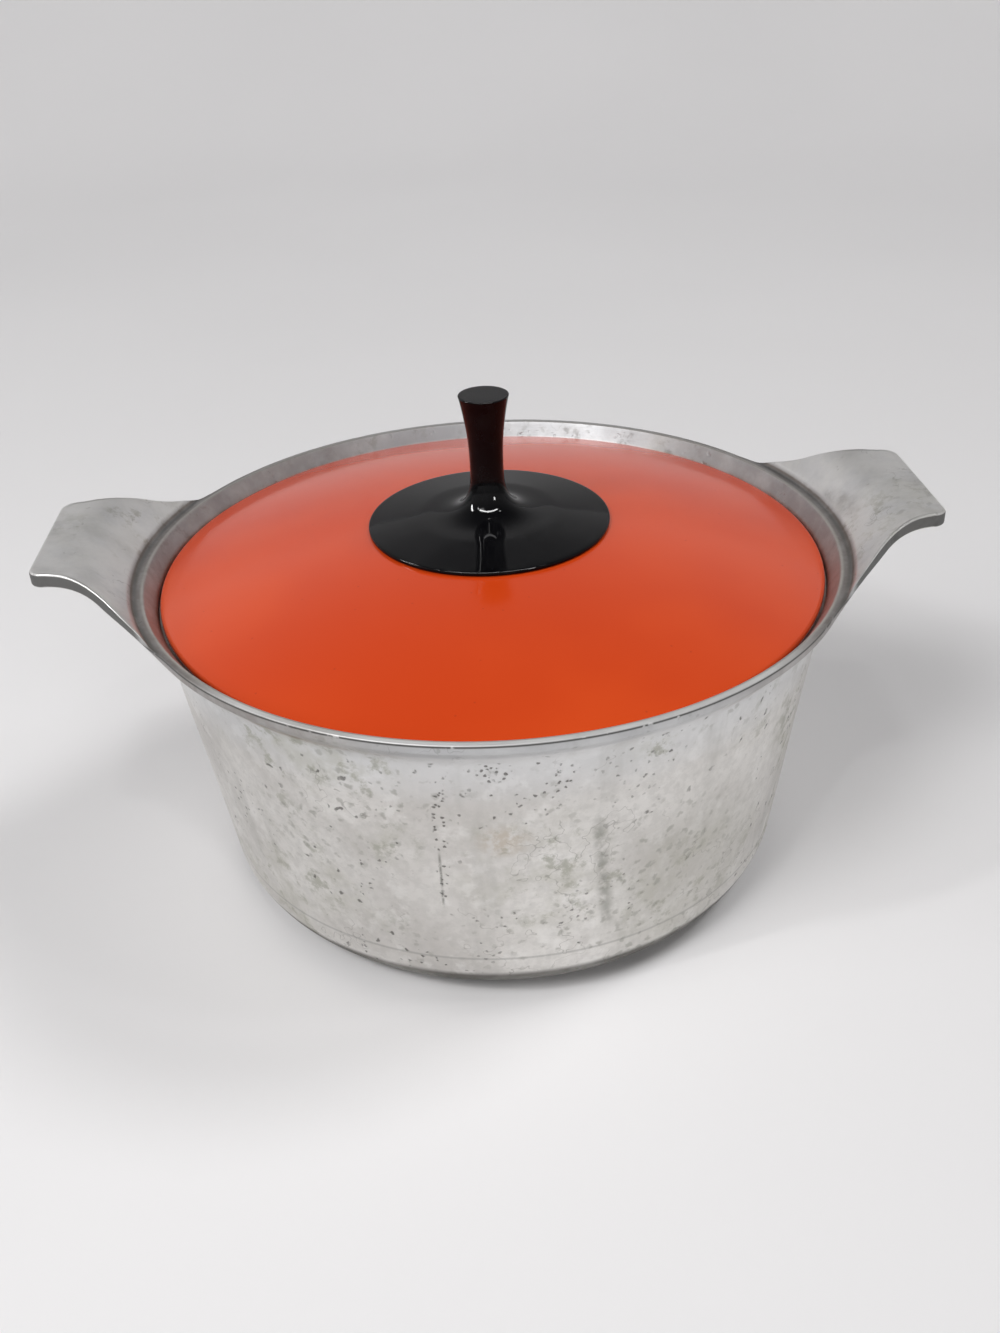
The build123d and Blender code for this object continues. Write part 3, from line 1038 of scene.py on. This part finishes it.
def add_camera():
    """Camera at the photographer's place, with the picture turned a little about its middle."""
    around = Matrix.Rotation(-pot_turn, 3, "Z")
    forward = Vector((
        math.sin(camera_pan) * math.cos(camera_pitch),
        math.cos(camera_pan) * math.cos(camera_pitch),
        -math.sin(camera_pitch),
    ))
    right = forward.cross(Vector((0, 0, 1))).normalized()
    up = right.cross(forward)
    rolled_right = right * math.cos(camera_roll) + up * math.sin(camera_roll)
    rolled_up = up * math.cos(camera_roll) - right * math.sin(camera_roll)
    axes = around @ Matrix((rolled_right, rolled_up, -forward)).transposed()
    data = bpy.data.cameras.new("camera")
    data.lens = camera_lens
    data.sensor_width = 36.0
    data.clip_end = 50.0
    camera = bpy.data.objects.new("camera", data)
    camera.matrix_world = axes.to_4x4()
    camera.location = around @ Vector((0, -camera_distance, camera_height)) * MM
    bpy.context.scene.collection.objects.link(camera)
    bpy.context.scene.camera = camera


def add_floor():
    """Level floor that curves up into a backdrop behind the pot. Lengths here are in metres."""
    half_width = 9.0
    front = -12.0
    bend_start = 1.3
    bend_radius = 0.9
    wall_top = 1.1
    line = [Vector((front, 0)), Vector((bend_start, 0))]
    line += arc(Vector((bend_start, bend_radius)), bend_radius, -math.pi / 2, 0, 16)[1:]
    line.append(Vector((bend_start + bend_radius, wall_top)))
    points = []
    faces = []
    for i, place in enumerate(line):
        for side in (-half_width, half_width):
            points.append(Vector((side, place.x, place.y)) / MM)
        if i:
            faces.append((2 * i - 2, 2 * i - 1, 2 * i + 1, 2 * i))
    floor = make_object("studio_floor", points, faces)
    floor.data.materials.append(studio_floor())


def put_light(data, place, target):
    """Light object at a place, facing a target."""
    light = bpy.data.objects.new(data.name, data)
    light.location = place
    light.rotation_euler = (Vector(target) - Vector(place)).to_track_quat("-Z", "Y").to_euler()
    bpy.context.scene.collection.objects.link(light)
    return light


def add_lamp(name, place, size, power, target=pot_middle):
    """Rectangular lamp; its place and size are in metres."""
    data = bpy.data.lights.new(name, "AREA")
    data.shape = "RECTANGLE"
    data.size, data.size_y = size
    data.energy = power
    return put_light(data, place, target)


def add_sun(name, place, strength):
    """Broad even light on matt surfaces only, from the direction of a place."""
    data = bpy.data.lights.new(name, "SUN")
    data.energy = strength
    data.angle = sun_spread
    put_light(data, place, pot_middle).visible_glossy = False


def add_glint(name, place, size, power):
    """Lamp seen only as a highlight on the knob."""
    lamp = add_lamp(name, place, size, power, knob_middle)
    lamp.visible_diffuse = False
    lamp.light_linking.receiver_collection = knob_only


def add_world():
    """Even light from the room's walls: paler low down and to the left, duller overhead."""
    world = bpy.data.worlds.new("studio")
    world.use_nodes = True
    nodes = world.node_tree.nodes
    links = world.node_tree.links

    def ramp(value, start, stop, low, high, shape="SMOOTHSTEP"):
        node = nodes.new("ShaderNodeMapRange")
        node.interpolation_type = shape
        links.new(value, node.inputs["Value"])
        settings = {"From Min": start, "From Max": stop, "To Min": low, "To Max": high}
        for key, setting in settings.items():
            node.inputs[key].default_value = setting
        return node.outputs["Result"]

    split = nodes.new("ShaderNodeSeparateXYZ")
    links.new(nodes.new("ShaderNodeTexCoord").outputs["Generated"], split.inputs[0])
    on_matt = nodes.new("ShaderNodeLightPath").outputs["Is Diffuse Ray"]
    strength = ramp(split.outputs["Z"], 0.15, 1.0, 0.90, 0.14)
    for level in (
        ramp(split.outputs["X"], -1.0, 1.0, 1.12, 0.88),
        ramp(on_matt, 0.0, 1.0, 1.0, world_matt_share, "LINEAR"),
    ):
        product = nodes.new("ShaderNodeMath")
        product.operation = "MULTIPLY"
        links.new(strength, product.inputs[0])
        links.new(level, product.inputs[1])
        strength = product.outputs[0]
    background = nodes["Background"]
    background.inputs["Color"].default_value = rgb(1.0, 0.985, 0.99)
    links.new(strength, background.inputs["Strength"])
    bpy.context.scene.world = world


knob_only.objects.link(moulding)
add_camera()
add_floor()
key_place = (-0.62, -0.70, 1.25)
add_lamp("key", key_place, (0.45, 0.40), 5.9)
add_sun("key_fill", key_place, 0.40)
add_sun("left_fill", (-1.00, -0.20, 0.50), 0.30)
add_sun("front_fill", (0.30, -0.95, 0.90), 0.24)
add_lamp("left_lamp", (-0.93, -0.54, 1.12), (0.05, 0.14), 2.7)
add_lamp("front_lamp", (-0.09, -0.62, 1.47), (0.10, 0.045), 1.2)
add_lamp("right_lamp", (0.75, -0.35, 1.35), (0.10, 0.10), 1.2)
add_sun("right_fill", (0.75, 0.15, 1.10), 0.93)
add_glint("strip_glint", (-0.05, -0.75, 1.45), (1.8, 0.14), 90.0)
add_glint("window_glint", (-1.10, 0.05, 0.90), (0.12, 0.55), 26.0)
add_glint("far_glint", (0.65, -1.00, 0.40), (0.16, 0.16), 8.0)
add_world()
bpy.context.scene.view_settings.view_transform = "Standard"
